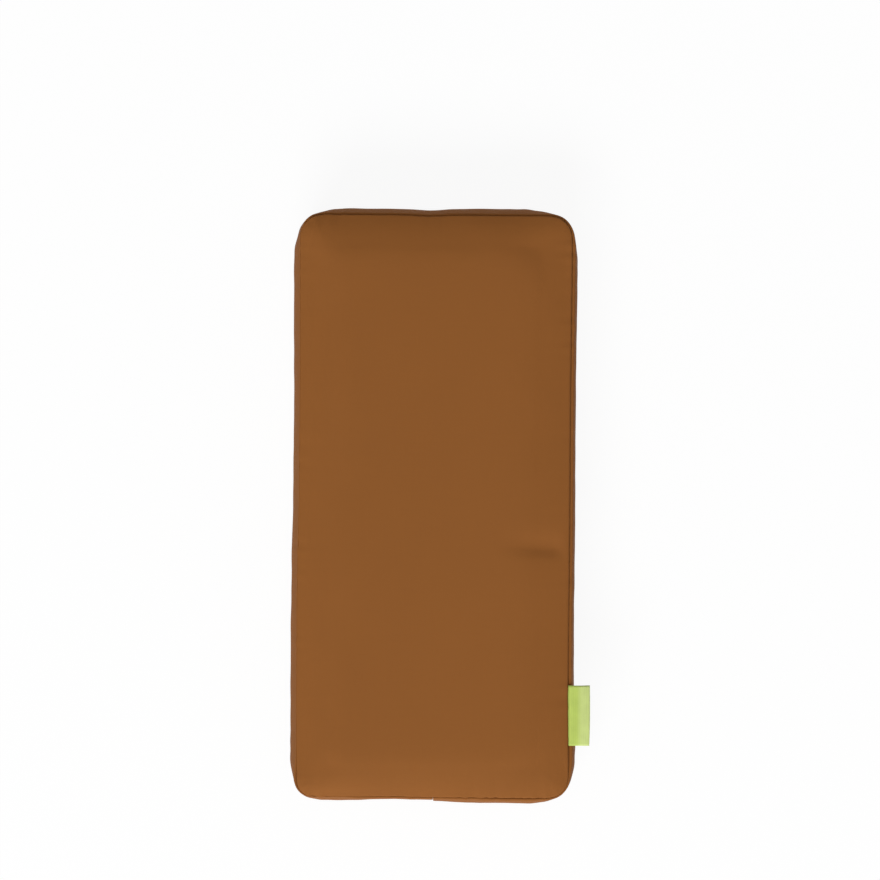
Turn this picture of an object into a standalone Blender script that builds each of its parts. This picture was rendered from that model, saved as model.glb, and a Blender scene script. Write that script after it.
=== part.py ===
"""A padded seat cushion for a bicycle's rear rack.

A foam pad in a boxed fabric cover: a top panel and a bottom panel, sewn with plain
seams to one side band whose ends meet at the middle of the near end. A folded tape
label is caught in the top seam, and two webbing straps lie across the underside.

Metres, +Z up. X runs across the cushion and Y along it, with the near end at -Y.
The origin is the middle of the underside.
"""
import math

import bmesh
import bpy
from mathutils import Vector

# The cushion over all
BODY_LENGTH = 0.320
BODY_WIDTH = 0.1535
BODY_HEIGHT = 0.050

# The cover: how far the band swells past the seams, and where the seams run.
# A fullness is the power of a curve: the higher, the flatter its middle.
BAND_BULGE = 0.0044
BAND_FULLNESS = 2.6
CROWN_RISE = 0.0065
CROWN_FULLNESS = 6.0
UNDERSIDE_RISE = 0.0055
UNDERSIDE_ROLL = 0.0115
UNDERSIDE_FULLNESS = 2.4
SEAM_CORNER_RADIUS = 0.014
LEAST_CORNER_RADIUS = 0.002

# The cloth and its seams
COVER_THICKNESS = 0.0008
SEAM_ALLOWANCE = 0.005
FOLD_RADIUS = 0.0013
PLY_GAP = 0.0003
# Half the room left in the pad for the band's turned-in ends
JOIN_ROOM = 0.003

# The folded side label, on the right side near the near end
LABEL_LENGTH = 0.032
LABEL_REACH = 0.0115
LABEL_FROM_NEAR_SEAM = 0.044
LABEL_TAPE = 0.00035
LABEL_DROOP_DEG = 7.0
LABEL_TURN_RADIUS = 0.003
# Length of seam over which the plies close again past the label's ends
LABEL_EASE = 0.005

# The two webbing straps on the underside
STRAP_WIDTH = 0.025
STRAP_THICKNESS = 0.001
STRAP_SPACING = 0.160
STRAP_END_MARGIN = 0.0078
STRAP_EDGE_RADIUS = 0.0003
RECESS_SLOPE = 0.0015

# How finely round shapes are cut
FOLD_SEGMENTS = 3
CORNER_SEGMENTS = 6
BAND_ROWS = 6
CROWN_ROWS = 6
ROLL_ROWS = 3
SIDE_BAYS = 6
LABEL_TURN_SEGMENTS = 6
# Crown rows crowd towards the seam by this power
CROWN_CROWDING = 1.7

HALF_WIDTH = BODY_WIDTH / 2 - BAND_BULGE
HALF_LENGTH = BODY_LENGTH / 2 - BAND_BULGE
TOP_SEAM_HEIGHT = BODY_HEIGHT - CROWN_RISE
BOTTOM_SEAM_HEIGHT = UNDERSIDE_RISE
FOLD_STAND = (PLY_GAP / 2 + FOLD_RADIUS) / math.sqrt(2) + FOLD_RADIUS
STRAP_LENGTH = 2 * (HALF_WIDTH - UNDERSIDE_ROLL - STRAP_END_MARGIN)
STRAP_CENTRES = (-STRAP_SPACING / 2, STRAP_SPACING / 2)
RECESS_DEPTH = STRAP_THICKNESS + PLY_GAP
LABEL_Y = LABEL_FROM_NEAR_SEAM - HALF_LENGTH
LABEL_HALF_STACK = LABEL_TAPE + PLY_GAP / 2
LABEL_SPREAD = LABEL_HALF_STACK + PLY_GAP / 2

BROWN = (0.262, 0.104, 0.026, 1.0)
DARK_WEBBING = (0.020, 0.018, 0.017, 1.0)
LIGHT_GREEN = (0.48, 0.67, 0.16, 1.0)
CREAM_FOAM = (0.80, 0.74, 0.55, 1.0)


def cloth_material(name, colour, roughness):
    material = bpy.data.materials.new(name)
    material.use_nodes = True
    shader = material.node_tree.nodes["Principled BSDF"]
    shader.inputs["Base Color"].default_value = colour
    shader.inputs["Roughness"].default_value = roughness
    shader.inputs["Metallic"].default_value = 0.0
    material.diffuse_color = colour
    return material


def finish_object(name, mesh_data, material, sharp_deg=40):
    """Turns a bmesh into a named, shaded object at the origin."""
    mesh = bpy.data.meshes.new(name)
    mesh_data.to_mesh(mesh)
    mesh_data.free()
    mesh.shade_smooth()
    mesh.set_sharp_from_angle(angle=math.radians(sharp_deg))
    mesh.materials.append(material)
    piece = bpy.data.objects.new(name, mesh)
    bpy.context.scene.collection.objects.link(piece)
    return piece


def thicken(piece, thickness):
    """Gives an outer face its cloth thickness, inwards."""
    solid = piece.modifiers.new("thickness", "SOLIDIFY")
    solid.thickness = thickness
    solid.offset = -1.0
    solid.use_even_offset = True


# The outline: a rounded rectangle, moved inwards by an inset from the seam line.
# Every outline has the same points in the same order, so outlines can be joined.

def side_lines(needed=()):
    """The Y of the points on a long side: even bays, and the lines that a piece needs."""
    straight = HALF_LENGTH - SEAM_CORNER_RADIUS
    bay = 2 * straight / SIDE_BAYS
    even = [-straight + bay * k for k in range(1, SIDE_BAYS)]
    zones = [(min(zone) - bay / 4, max(zone) + bay / 4) for zone in needed]
    clear = [y for y in even if not any(low < y < high for low, high in zones)]
    return sorted(clear + [y for zone in needed for y in zone])


def outline(inset, right_lines, left_lines, join_gap=0.0):
    """Points round the cushion, anticlockwise from the middle of the near end."""
    half_x = HALF_WIDTH - inset
    half_y = HALF_LENGTH - inset
    radius = max(SEAM_CORNER_RADIUS - inset, LEAST_CORNER_RADIUS)
    stretch = (half_y - radius) / (HALF_LENGTH - SEAM_CORNER_RADIUS)

    def corner(sign_x, sign_y, start_deg):
        turn = [start_deg + 90 * k / CORNER_SEGMENTS for k in range(CORNER_SEGMENTS + 1)]
        centre = (sign_x * (half_x - radius), sign_y * (half_y - radius))
        return [(centre[0] + radius * math.cos(math.radians(a)),
                 centre[1] + radius * math.sin(math.radians(a))) for a in turn]

    points = [(join_gap / 2, -half_y), (JOIN_ROOM, -half_y)] if join_gap else [(0.0, -half_y)]
    points += corner(1, -1, -90)
    points += [(half_x, y * stretch) for y in right_lines]
    points += corner(1, 1, 0)
    points += [(0.0, half_y)]
    points += corner(-1, 1, 90)
    points += [(-half_x, y * stretch) for y in reversed(left_lines)]
    points += corner(-1, -1, 180)
    if join_gap:
        points += [(-JOIN_ROOM, -half_y), (-join_gap / 2, -half_y)]
    return points


# Profiles: the outer face of a piece in section, as (inset from the seam line, height)

def seam_edge(seam_height, into_sign, ply_sign, outward):
    """A turned-in edge, from the raw edge inside the seam to the end of its fold.

    into_sign is -1 where the allowance runs inwards and down, +1 inwards and up.
    ply_sign is +1 for a panel and -1 for the band, on the seam's other side.
    outward is the direction that the cloth faces where the fold ends.
    """
    into = Vector((1, into_sign)).normalized()
    side = Vector((1, -into_sign)).normalized() * ply_sign
    start = Vector((0, seam_height)) + side * (PLY_GAP / 2)
    centre = start + side * FOLD_RADIUS
    first = math.atan2(-side.y, -side.x)
    last = math.atan2(outward.y, outward.x)
    sweep = (last - first + math.pi) % (2 * math.pi) - math.pi
    arc = []
    for k in range(FOLD_SEGMENTS + 1):
        angle = first + sweep * k / FOLD_SEGMENTS
        arc.append(centre + Vector((math.cos(angle), math.sin(angle))) * FOLD_RADIUS)
    return [start + into * SEAM_ALLOWANCE] + arc


def top_profile():
    """From the raw edge round the fold and up over the crown, nearly to the middle line."""
    slope = CROWN_FULLNESS * (CROWN_RISE - FOLD_STAND) / HALF_WIDTH
    rows = seam_edge(TOP_SEAM_HEIGHT, -1, 1, Vector((-slope, 1)).normalized())
    edge = rows[-1]
    to_middle = HALF_WIDTH - edge.x
    reach = to_middle - 2 * LEAST_CORNER_RADIUS
    for k in range(1, CROWN_ROWS + 1):
        run = reach * (k / CROWN_ROWS) ** CROWN_CROWDING
        rise = (BODY_HEIGHT - edge.y) * (1 - (1 - run / to_middle) ** CROWN_FULLNESS)
        rows.append(edge + Vector((run, rise)))
    return rows


def band_profile():
    """From the bottom seam's raw edge up the bulging side to the top seam's raw edge."""
    height = TOP_SEAM_HEIGHT - BOTTOM_SEAM_HEIGHT
    lean = 2 * BAND_FULLNESS * (BAND_BULGE - FOLD_STAND) / height
    low = seam_edge(BOTTOM_SEAM_HEIGHT, 1, -1, Vector((-1, -lean)).normalized())
    high = seam_edge(TOP_SEAM_HEIGHT, -1, -1, Vector((-1, lean)).normalized())
    middle = []
    for k in range(1, BAND_ROWS):
        share = k / BAND_ROWS
        swell = 1 - abs(2 * share - 1) ** BAND_FULLNESS
        point = low[-1].lerp(high[-1], share)
        point.x -= (BAND_BULGE + point.x) * swell
        middle.append(point)
    return low + middle + high[::-1]


def bottom_profile():
    """From the raw edge round the fold and down the roll to the flat underside."""
    slope = UNDERSIDE_FULLNESS * (UNDERSIDE_RISE - FOLD_STAND) / UNDERSIDE_ROLL
    rows = seam_edge(BOTTOM_SEAM_HEIGHT, 1, 1, Vector((-slope, -1)).normalized())
    edge = rows[-1]
    for k in range(1, ROLL_ROWS + 1):
        share = k / ROLL_ROWS
        inset = edge.x + (UNDERSIDE_ROLL - edge.x) * share
        rows.append(Vector((inset, edge.y * (1 - share) ** UNDERSIDE_FULLNESS)))
    return rows


def inside(rows, depth):
    """A profile moved square to itself towards the pad. It runs outwards below, up, and inwards above."""
    steps = [(b - a).normalized() for a, b in zip(rows, rows[1:])]
    moved = []
    for k, row in enumerate(rows):
        before, after = steps[max(k - 1, 0)], steps[min(k, len(steps) - 1)]
        square = Vector((before.y + after.y, -before.x - after.x)).normalized()
        moved.append(row + square * depth / square.dot(Vector((after.y, -after.x))))
    return moved


def crossing(rows, axis, value):
    """The point where a profile first reaches an inset (axis 0) or a height (axis 1)."""
    for a, b in zip(rows, rows[1:]):
        if (a[axis] - value) * (b[axis] - value) <= 0:
            return a.lerp(b, (value - a[axis]) / (b[axis] - a[axis]))
    return rows[-1].copy()


def foam_profile():
    """The pad, filling the cover, with a rebate that clears each seam's turned-in allowance."""
    skin = COVER_THICKNESS + PLY_GAP
    plies = COVER_THICKNESS + PLY_GAP / 2 + LABEL_SPREAD
    rebate = (SEAM_ALLOWANCE + plies) / math.sqrt(2) + PLY_GAP
    low, high = BOTTOM_SEAM_HEIGHT + rebate, TOP_SEAM_HEIGHT - rebate
    edge_rows = FOLD_SEGMENTS + 1
    roll = inside(bottom_profile()[edge_rows:][::-1], skin)
    side = inside(band_profile()[edge_rows:-edge_rows], skin)
    crown = inside(top_profile()[edge_rows:], skin)
    rows = [row for row in roll if row.x > rebate]
    rows += [crossing(roll, 0, rebate), Vector((rebate, low)), crossing(side, 1, low)]
    rows += [row for row in side if low < row.y < high]
    rows += [crossing(side, 1, high), Vector((rebate, high)), crossing(crown, 0, rebate)]
    rows += [row for row in crown if row.x > rebate]
    return rows


# Building meshes from outlines and profiles

def loft(bm, rings, closed, flip=False):
    """Joins neighbouring rings of vertices with quads, facing away from the pad."""
    count = len(rings[0])
    last = count if closed else count - 1
    for lower, upper in zip(rings, rings[1:]):
        for j in range(last):
            k = (j + 1) % count
            face = [lower[j], lower[k], upper[k], upper[j]]
            bm.faces.new(face[::-1] if flip else face)


def label_weight(y):
    """1 where the label is caught in the seam, falling to 0 past its ends."""
    beyond = abs(y - LABEL_Y) - LABEL_LENGTH / 2 - PLY_GAP
    return max(0.0, min(1.0, 1.0 - beyond / LABEL_EASE))


def ring_of(bm, row, right_lines, left_lines, join_gap=0.0, spread=0.0):
    """One ring of vertices. spread moves it off the seam's plane where the label is."""
    ring = []
    for x, y in outline(row.x, right_lines, left_lines, join_gap):
        move = spread * label_weight(y) / math.sqrt(2) if x > HALF_WIDTH / 2 else 0.0
        ring.append(bm.verts.new((x - move, y, row.y + move)))
    return ring


def label_lines():
    half = LABEL_LENGTH / 2 + PLY_GAP
    outer = half + LABEL_EASE
    return (LABEL_Y - outer, LABEL_Y - half, LABEL_Y + half, LABEL_Y + outer)


def strap_lines(centre_y, grow=0.0):
    half = STRAP_WIDTH / 2 + PLY_GAP + grow
    outer = half + RECESS_SLOPE
    return (centre_y - outer, centre_y - half, centre_y + half, centre_y + outer)


def nearest(ring, y, side):
    """Index of the ring's vertex nearest to a line, on the right (side 1) or the left (-1)."""
    def distance(j):
        place = ring[j].co
        return abs(place.y - y) if place.x * side > 0 else math.inf
    return min(range(len(ring)), key=distance)


def close_underside(bm, ring, grow=0.0):
    """Fills the flat underside inside a ring, with a shallow recess for each strap."""
    half = STRAP_LENGTH / 2 + PLY_GAP + grow
    columns = (half + RECESS_SLOPE, half, -half, -half - RECESS_SLOPE)
    flat = ring[0].co.z
    below = None
    for centre_y in STRAP_CENTRES:
        lines = []
        for place, y in enumerate(strap_lines(centre_y, grow)):
            middle = []
            for column, x in enumerate(columns):
                sunk = place in (1, 2) and column in (1, 2)
                middle.append(bm.verts.new((x, y, flat + (RECESS_DEPTH if sunk else 0.0))))
            lines.append((nearest(ring, y, 1), middle, nearest(ring, y, -1)))
        right, middle, left = lines[0]
        if below is None:
            bm.faces.new((ring[left:] + ring[:right + 1] + middle)[::-1])
        else:
            low_right, low_middle, low_left = below
            face = low_middle[::-1] + ring[low_right:right + 1] + middle + ring[left:low_left + 1]
            bm.faces.new(face[::-1])
        for lower, upper in zip(lines, lines[1:]):
            low = [ring[lower[0]]] + lower[1] + [ring[lower[2]]]
            high = [ring[upper[0]]] + upper[1] + [ring[upper[2]]]
            for j in range(len(low) - 1):
                bm.faces.new((low[j + 1], high[j + 1], high[j], low[j]))
        below = lines[-1]
    right, middle, left = below
    bm.faces.new((middle[::-1] + ring[right:left + 1])[::-1])


def build_top_panel(material):
    bm = bmesh.new()
    right_lines, left_lines = side_lines([label_lines()]), side_lines()
    rings = []
    for place, row in enumerate(top_profile()):
        spread = LABEL_SPREAD if place <= FOLD_SEGMENTS + 1 else 0.0
        rings.append(ring_of(bm, row, right_lines, left_lines, spread=spread))
    loft(bm, rings, closed=True)
    bm.faces.new(rings[-1])
    piece = finish_object("top_panel", bm, material)
    thicken(piece, COVER_THICKNESS)
    return piece


def build_bottom_panel(material):
    bm = bmesh.new()
    lines = side_lines([strap_lines(y) for y in STRAP_CENTRES])
    rings = [ring_of(bm, row, lines, lines) for row in bottom_profile()]
    loft(bm, rings, closed=True, flip=True)
    close_underside(bm, rings[-1])
    piece = finish_object("bottom_panel", bm, material)
    thicken(piece, COVER_THICKNESS)
    return piece


def build_side_band(material):
    """The strip round the sides. Its ends turn in where they are sewn together."""
    bm = bmesh.new()
    right_lines, left_lines = side_lines([label_lines()]), side_lines()
    rows = band_profile()
    high_fold = len(rows) - FOLD_SEGMENTS - 2
    rings = []
    for place, row in enumerate(rows):
        spread = -LABEL_SPREAD if place >= high_fold else 0.0
        rings.append(ring_of(bm, row, right_lines, left_lines, PLY_GAP, spread))
    loft(bm, rings, closed=False)
    first, last = FOLD_SEGMENTS + 1, high_fold
    for end in (0, -1):
        edge = [rings[k][end] for k in range(first, last + 1)]
        turned = [bm.verts.new(v.co + Vector((0, SEAM_ALLOWANCE, 0))) for v in edge[1:-1]]
        walls = [[edge[0], edge[1], turned[0]], [edge[-2], edge[-1], turned[-1]]]
        for j in range(len(turned) - 1):
            walls.append([edge[j + 1], edge[j + 2], turned[j + 1], turned[j]])
        for wall in walls:
            bm.faces.new(wall if end == 0 else wall[::-1])
    piece = finish_object("side_band", bm, material)
    thicken(piece, COVER_THICKNESS)
    return piece


def build_foam_core(material):
    bm = bmesh.new()
    grow = COVER_THICKNESS + PLY_GAP
    lines = side_lines([strap_lines(y, grow) for y in STRAP_CENTRES])
    rings = [ring_of(bm, row, lines, lines) for row in foam_profile()]
    loft(bm, rings, closed=True)
    close_underside(bm, rings[0], grow)
    bm.faces.new(rings[-1])
    piece = finish_object("foam_core", bm, material)

    slot = bmesh.new()
    bmesh.ops.create_cube(slot, size=1.0)
    deepest = -HALF_LENGTH + SEAM_ALLOWANCE + PLY_GAP
    outside = -BODY_LENGTH / 2 - PLY_GAP
    bmesh.ops.scale(slot, vec=(2 * JOIN_ROOM, deepest - outside, BODY_HEIGHT), verts=slot.verts)
    bmesh.ops.translate(slot, vec=(0, (deepest + outside) / 2, BODY_HEIGHT / 2), verts=slot.verts)
    cutter = finish_object("join_slot_cutter", slot, material)
    cutter.hide_render = True
    cutter.display_type = "WIRE"
    cut = piece.modifiers.new("join slot", "BOOLEAN")
    cut.operation = "DIFFERENCE"
    cut.solver = "EXACT"
    cut.object = cutter
    return piece


def build_side_label(material):
    """A tape folded in two: its raw ends lie in the seam, its fold is the free edge."""
    into = Vector((1, -1)).normalized()
    droop = math.radians(LABEL_DROOP_DEG)
    start_angle = math.radians(135)
    end_angle = math.radians(180) + droop
    bend = end_angle - start_angle
    turn = Vector((0, TOP_SEAM_HEIGHT)) + Vector((-1, -1)).normalized() * LABEL_TURN_RADIUS
    path = [Vector((0, TOP_SEAM_HEIGHT)) + into * SEAM_ALLOWANCE]
    normals = [Vector((1, 1)).normalized()]
    for k in range(LABEL_TURN_SEGMENTS + 1):
        angle = start_angle + bend * k / LABEL_TURN_SEGMENTS - math.pi / 2
        normal = Vector((math.cos(angle), math.sin(angle)))
        path.append(turn + normal * LABEL_TURN_RADIUS)
        normals.append(normal)
    heading = Vector((math.cos(end_angle), math.sin(end_angle)))
    left_over = LABEL_REACH - LABEL_HALF_STACK + path[-1].x
    path.append(path[-1] + heading * (left_over / -heading.x))
    normals.append(normals[-1])

    def hairpin(offset):
        upper = [p + n * offset for p, n in zip(path, normals)]
        lower = [p - n * offset for p, n in zip(path, normals)]
        tip, normal = path[-1], normals[-1]
        nose = []
        for k in range(1, LABEL_TURN_SEGMENTS):
            angle = math.pi * k / LABEL_TURN_SEGMENTS
            nose.append(tip + normal * (offset * math.cos(angle)) + heading * (offset * math.sin(angle)))
        return upper + nose + lower[::-1]

    outer = hairpin(LABEL_HALF_STACK)
    inner = hairpin(PLY_GAP / 2)
    bm = bmesh.new()

    def end_ring(points, y):
        return [bm.verts.new((HALF_WIDTH - p.x, y, p.y)) for p in points]

    near_y, far_y = LABEL_Y - LABEL_LENGTH / 2, LABEL_Y + LABEL_LENGTH / 2
    loop = outer + inner[::-1]
    near, far = end_ring(loop, near_y), end_ring(loop, far_y)
    count, half = len(loop), len(outer)
    for j in range(count):
        k = (j + 1) % count
        bm.faces.new((near[j], far[j], far[k], near[k]))
    for ring, flip in ((near, False), (far, True)):
        for j in range(half - 1):
            cap = [ring[j], ring[j + 1], ring[count - 2 - j], ring[count - 1 - j]]
            bm.faces.new(cap[::-1] if flip else cap)
    bmesh.ops.recalc_face_normals(bm, faces=bm.faces)
    return finish_object("side_label", bm, material)


def build_strap(name, centre_y, material):
    """Flat webbing, lying in its recess flush with the underside."""
    bm = bmesh.new()
    bmesh.ops.create_cube(bm, size=1.0)
    bmesh.ops.scale(bm, vec=(STRAP_LENGTH, STRAP_WIDTH, STRAP_THICKNESS), verts=bm.verts)
    selvedges = [e for e in bm.edges if abs(e.verts[0].co.x - e.verts[1].co.x) > STRAP_LENGTH / 2]
    bmesh.ops.bevel(bm, geom=selvedges, offset=STRAP_EDGE_RADIUS, segments=2, profile=0.5,
                    affect="EDGES")
    strap = finish_object(name, bm, material)
    strap.location = (0, centre_y, STRAP_THICKNESS / 2)
    return strap


for old in list(bpy.context.scene.objects):
    bpy.data.objects.remove(old, do_unlink=True)

cover = cloth_material("cover_fabric", BROWN, 0.62)
webbing = cloth_material("webbing", DARK_WEBBING, 0.75)
tape = cloth_material("label_tape", LIGHT_GREEN, 0.60)
foam = cloth_material("foam", CREAM_FOAM, 0.95)

build_foam_core(foam)
build_bottom_panel(cover)
build_side_band(cover)
build_top_panel(cover)
build_side_label(tape)
build_strap("near_strap", STRAP_CENTRES[0], webbing)
build_strap("far_strap", STRAP_CENTRES[1], webbing)
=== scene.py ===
import math

import bpy
import numpy as np
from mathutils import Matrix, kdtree


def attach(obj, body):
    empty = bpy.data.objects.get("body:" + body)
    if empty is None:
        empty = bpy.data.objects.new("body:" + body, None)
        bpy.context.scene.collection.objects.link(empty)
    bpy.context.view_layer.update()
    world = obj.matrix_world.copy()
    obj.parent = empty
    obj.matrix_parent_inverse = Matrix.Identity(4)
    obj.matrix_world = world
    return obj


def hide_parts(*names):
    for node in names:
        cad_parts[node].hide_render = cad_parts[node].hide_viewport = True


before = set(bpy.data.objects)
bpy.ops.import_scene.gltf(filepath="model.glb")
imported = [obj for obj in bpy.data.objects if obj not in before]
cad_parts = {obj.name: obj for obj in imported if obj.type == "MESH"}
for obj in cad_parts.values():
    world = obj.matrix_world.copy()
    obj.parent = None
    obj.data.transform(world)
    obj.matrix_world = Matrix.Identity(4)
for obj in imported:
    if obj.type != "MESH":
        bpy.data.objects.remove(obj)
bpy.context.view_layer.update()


# The view: a camera high above the cushion, looking straight down, so that the sides
# hardly show. The cushion lies about half a degree askew in the picture.
CAMERA_HEIGHT = 1.7435
CAMERA_LENS = 131.0
CAMERA_OVER = (0.0028, 0.0349)
PICTURE_TURN = math.radians(0.45)

scene = bpy.context.scene
scene.view_settings.view_transform = "Standard"
camera_data = bpy.data.cameras.new("camera")
camera_data.lens = CAMERA_LENS
camera = bpy.data.objects.new("camera", camera_data)
camera.location = (*CAMERA_OVER, CAMERA_HEIGHT)
camera.rotation_euler = (0.0, 0.0, PICTURE_TURN)
scene.collection.objects.link(camera)
scene.camera = camera


# The floor: a plain white square under the cushion. It glows for the camera and in
# reflections, is white paint for all other light, and keeps part of the cushion's shadow.
FLOOR_HALF = 3.0
CORNERS = ((-1, -1), (1, -1), (1, 1), (-1, 1))
FLOOR_DROP = 0.0006
FLOOR_WHITE = (0.96, 0.96, 0.96, 1.0)
WHITE_LIGHT = (1.0, 1.0, 1.0, 1.0)
SHADOW_SHARE = 0.08
SHADOW_REACH = 0.5
SHADOW_EDGE = 1.5
UNDER_HALF = (0.0715, 0.1540)
UNDER_SOFT = 0.008


class Wire:
    """A socket of a material. Arithmetic on it adds Math nodes, node() adds any other."""

    def __init__(self, tree, socket=None):
        self.tree = tree
        self.socket = socket

    def node(self, kind, settings, values, out=0):
        made = self.tree.nodes.new("ShaderNode" + kind)
        for name, value in settings.items():
            if name == "stops":
                stops = made.color_ramp.elements
                while len(stops) < len(value):
                    stops.new(0.5)
                for stop, (position, colour) in zip(stops, value):
                    stop.position = position
                    stop.color = colour
            else:
                setattr(made, name, value)
        for name, value in values.items():
            if isinstance(value, Wire):
                self.tree.links.new(value.socket, made.inputs[name])
            else:
                made.inputs[name].default_value = value
        return Wire(self.tree, made.outputs[out])

    def beside(self, out):
        """Another output of the same node."""
        return Wire(self.tree, self.socket.node.outputs[out])

    def maths(self, operation, *values):
        return self.node("Math", {"operation": operation}, dict(enumerate(values)))

    def between(self, low, high):
        """A colour, low where this is 0 and high where it is 1."""
        return self.node("Mix", {"data_type": "RGBA"}, {0: self, 6: low, 7: high}, 2)

    def scaled(self, factors):
        return self.node("VectorMath", {"operation": "MULTIPLY"}, {0: self, 1: factors})

    def noise(self, scale, detail):
        return self.node("TexNoise", {}, {"Vector": self, "Scale": scale, "Detail": detail})

    def limited(self):
        return self.node("Clamp", {}, {0: self})

    def __add__(self, other):
        return self.maths("ADD", self, other)

    __radd__ = __add__

    def __mul__(self, other):
        return self.maths("MULTIPLY", self, other)

    __rmul__ = __mul__

    def __sub__(self, other):
        return self.maths("SUBTRACT", self, other)

    def __rsub__(self, other):
        return self.maths("SUBTRACT", other, self)

    def __truediv__(self, other):
        return self.maths("DIVIDE", self, other)

    def __pow__(self, other):
        return self.maths("POWER", self, other)

    def __abs__(self):
        return self.maths("ABSOLUTE", self)


def new_finish(name, kind=bpy.data.materials):
    """A material, or a world, with an empty node tree, and a Wire to build it with."""
    finish = kind.new(name)
    finish.use_nodes = True
    finish.node_tree.nodes.clear()
    return finish, Wire(finish.node_tree)


def put_out(wire, kind="OutputMaterial"):
    """Ends a material, or the room's light, with this shader."""
    end = wire.tree.nodes.new("ShaderNode" + kind)
    wire.tree.links.new(wire.socket, end.inputs["Surface"])


def put_surface(colour, roughness, specular, relief, sheen=0.0):
    """Ends a material as a surface with this relief, in metres."""
    normal = relief.node("Bump", {}, {"Height": relief, "Distance": 1.0, "Strength": 1.0})
    put_out(normal.node("BsdfPrincipled", {}, {
        "Base Color": colour, "Roughness": roughness, "Specular IOR Level": specular,
        "Sheen Weight": sheen, "Normal": normal}))


def seen_white(wire):
    """1 for rays that show the white surround: the camera's, and those off or through gloss."""
    path = wire.node("LightPath", {}, {}, "Is Camera Ray")
    seen = path.maths("MAXIMUM", path, path.beside("Is Glossy Ray"))
    return seen.maths("MAXIMUM", seen, path.beside("Is Transmission Ray"))


floor_finish, wire = new_finish("floor_white")
seen = seen_white(wire)
painted = wire.node("BsdfDiffuse", {}, {"Color": FLOOR_WHITE})
glowing = wire.node("Emission", {}, {"Color": WHITE_LIGHT, "Strength": 1.0})
spot = wire.node("TexCoord", {}, {}, "Object")
away = wire.node("VectorMath", {"operation": "LENGTH"}, {0: spot}, "Value")
# The shadow's share is whole near the cushion and fades out with the distance.
shaded = (SHADOW_EDGE - away / SHADOW_REACH).limited() * SHADOW_SHARE
top_side = wire.node("MixShader", {}, {0: seen * (1 - shaded), 1: painted, 2: glowing})
# Seen from below the floor isn't there, and where the cushion covers it the room's light
# comes up through it to the underside.
clear = wire.node("BsdfTransparent", {}, {"Color": WHITE_LIGHT})
below = wire.node("NewGeometry", {}, {}, "Backfacing")
across = wire.node("SeparateXYZ", {}, {0: spot}, "X")
covered = (((UNDER_HALF[0] - abs(across)) / UNDER_SOFT).limited()
           * ((UNDER_HALF[1] - abs(across.beside("Y"))) / UNDER_SOFT).limited())
put_out(wire.node("MixShader", {}, {
    0: wire.maths("MAXIMUM", below, covered), 1: top_side, 2: clear}))

floor_mesh = bpy.data.meshes.new("floor")
floor_mesh.from_pydata([(x * FLOOR_HALF, y * FLOOR_HALF, -FLOOR_DROP) for x, y in CORNERS],
                       [], [(0, 1, 2, 3)])
floor_mesh.materials.append(floor_finish)
floor = bpy.data.objects.new("floor", floor_mesh)
scene.collection.objects.link(floor)


# The light: a soft box above and a larger one from the near left, with an even white
# room round them. White paint that lies flat comes out just white.
ROOM_LEVEL = 0.26
TOP_BOX_WATTS = 6.4
NEAR_BOX_WATTS = 222.0
TOP_BOX = ((0.0, 0.05, 2.4), (1.2, 1.2))
NEAR_BOX = ((-1.05, -3.50, 3.35), (3.0, 2.0))

scene.world, wire = new_finish("room", bpy.data.worlds)
seen = seen_white(wire)
put_out(wire.node("Background", {}, {
    "Color": WHITE_LIGHT, "Strength": ROOM_LEVEL + seen * (1 - ROOM_LEVEL)}), "OutputWorld")


def soft_box(name, place, size, watts):
    """A rectangular lamp that points at the middle of the cushion."""
    lamp = bpy.data.lights.new(name, "AREA")
    lamp.shape = "RECTANGLE"
    lamp.size, lamp.size_y = size
    lamp.energy = watts
    box = bpy.data.objects.new(name, lamp)
    box.location = place
    box.rotation_euler = (-box.location).to_track_quat("-Z", "Y").to_euler()
    scene.collection.objects.link(box)


soft_box("top_box", *TOP_BOX, TOP_BOX_WATTS)
soft_box("near_box", *NEAR_BOX, NEAR_BOX_WATTS)


# The top panel: brown coated polyester in a plain weave, cut as a rounded rectangle and
# pulled over the foam. A plain seam joins it to the side band, with its allowance turned
# in, so a soft fold runs all round it.
HALF_WIDTH = 0.07205
HALF_LENGTH = 0.1547
TOP_SEAM = 0.0435
CORNER_RADII = (0.0085, 0.0108, 0.0118, 0.0118)
LEAST_RADIUS = 0.0006
END_CELLS = 28
SIDE_CELLS = 48
CORNER_CROWDING = 1.5
CORNER_REACH = 0.016
CORNER_STEPS = 12
SIDE_SAMPLES = 600
CLOTH_THICKNESS = 0.0008
SEAM_ALLOWANCE = 0.005
PLY_GAP = 0.0002
SEWN_GAP = 0.00004
ALLOWANCE_SHARES = (1.0, 0.4)
FOLD_SHARES = (0.0, 0.25, 0.5, 0.75, 1.0)
FOLD_ROWS = len(ALLOWANCE_SHARES) + len(FOLD_SHARES)
FOLD_RADIUS = 0.00045
FOLD_OPENING = 0.00070
TOP_HEIGHT = 0.0491
TOP_RINGS = (0.0025, 0.0048, 0.0080, 0.0118, 0.0160)
RING_SQUARING = 1.6
TOP_SMOOTHINGS = 5


def bell(distance, width):
    """1 at no distance, and hardly anything beyond twice the width."""
    return np.exp(-(distance / width) ** 2)


def lengths_along(way):
    """How far along a line of points each of them is."""
    return np.concatenate(((0,), np.cumsum(np.linalg.norm(np.diff(way, axis=0), axis=1))))


def read_at(stops, gone, values):
    """Pairs of values that are known at gone along a line, read at other stops on it."""
    return np.stack([np.interp(stops, gone, values[:, axis]) for axis in (0, 1)], 1)


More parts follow.
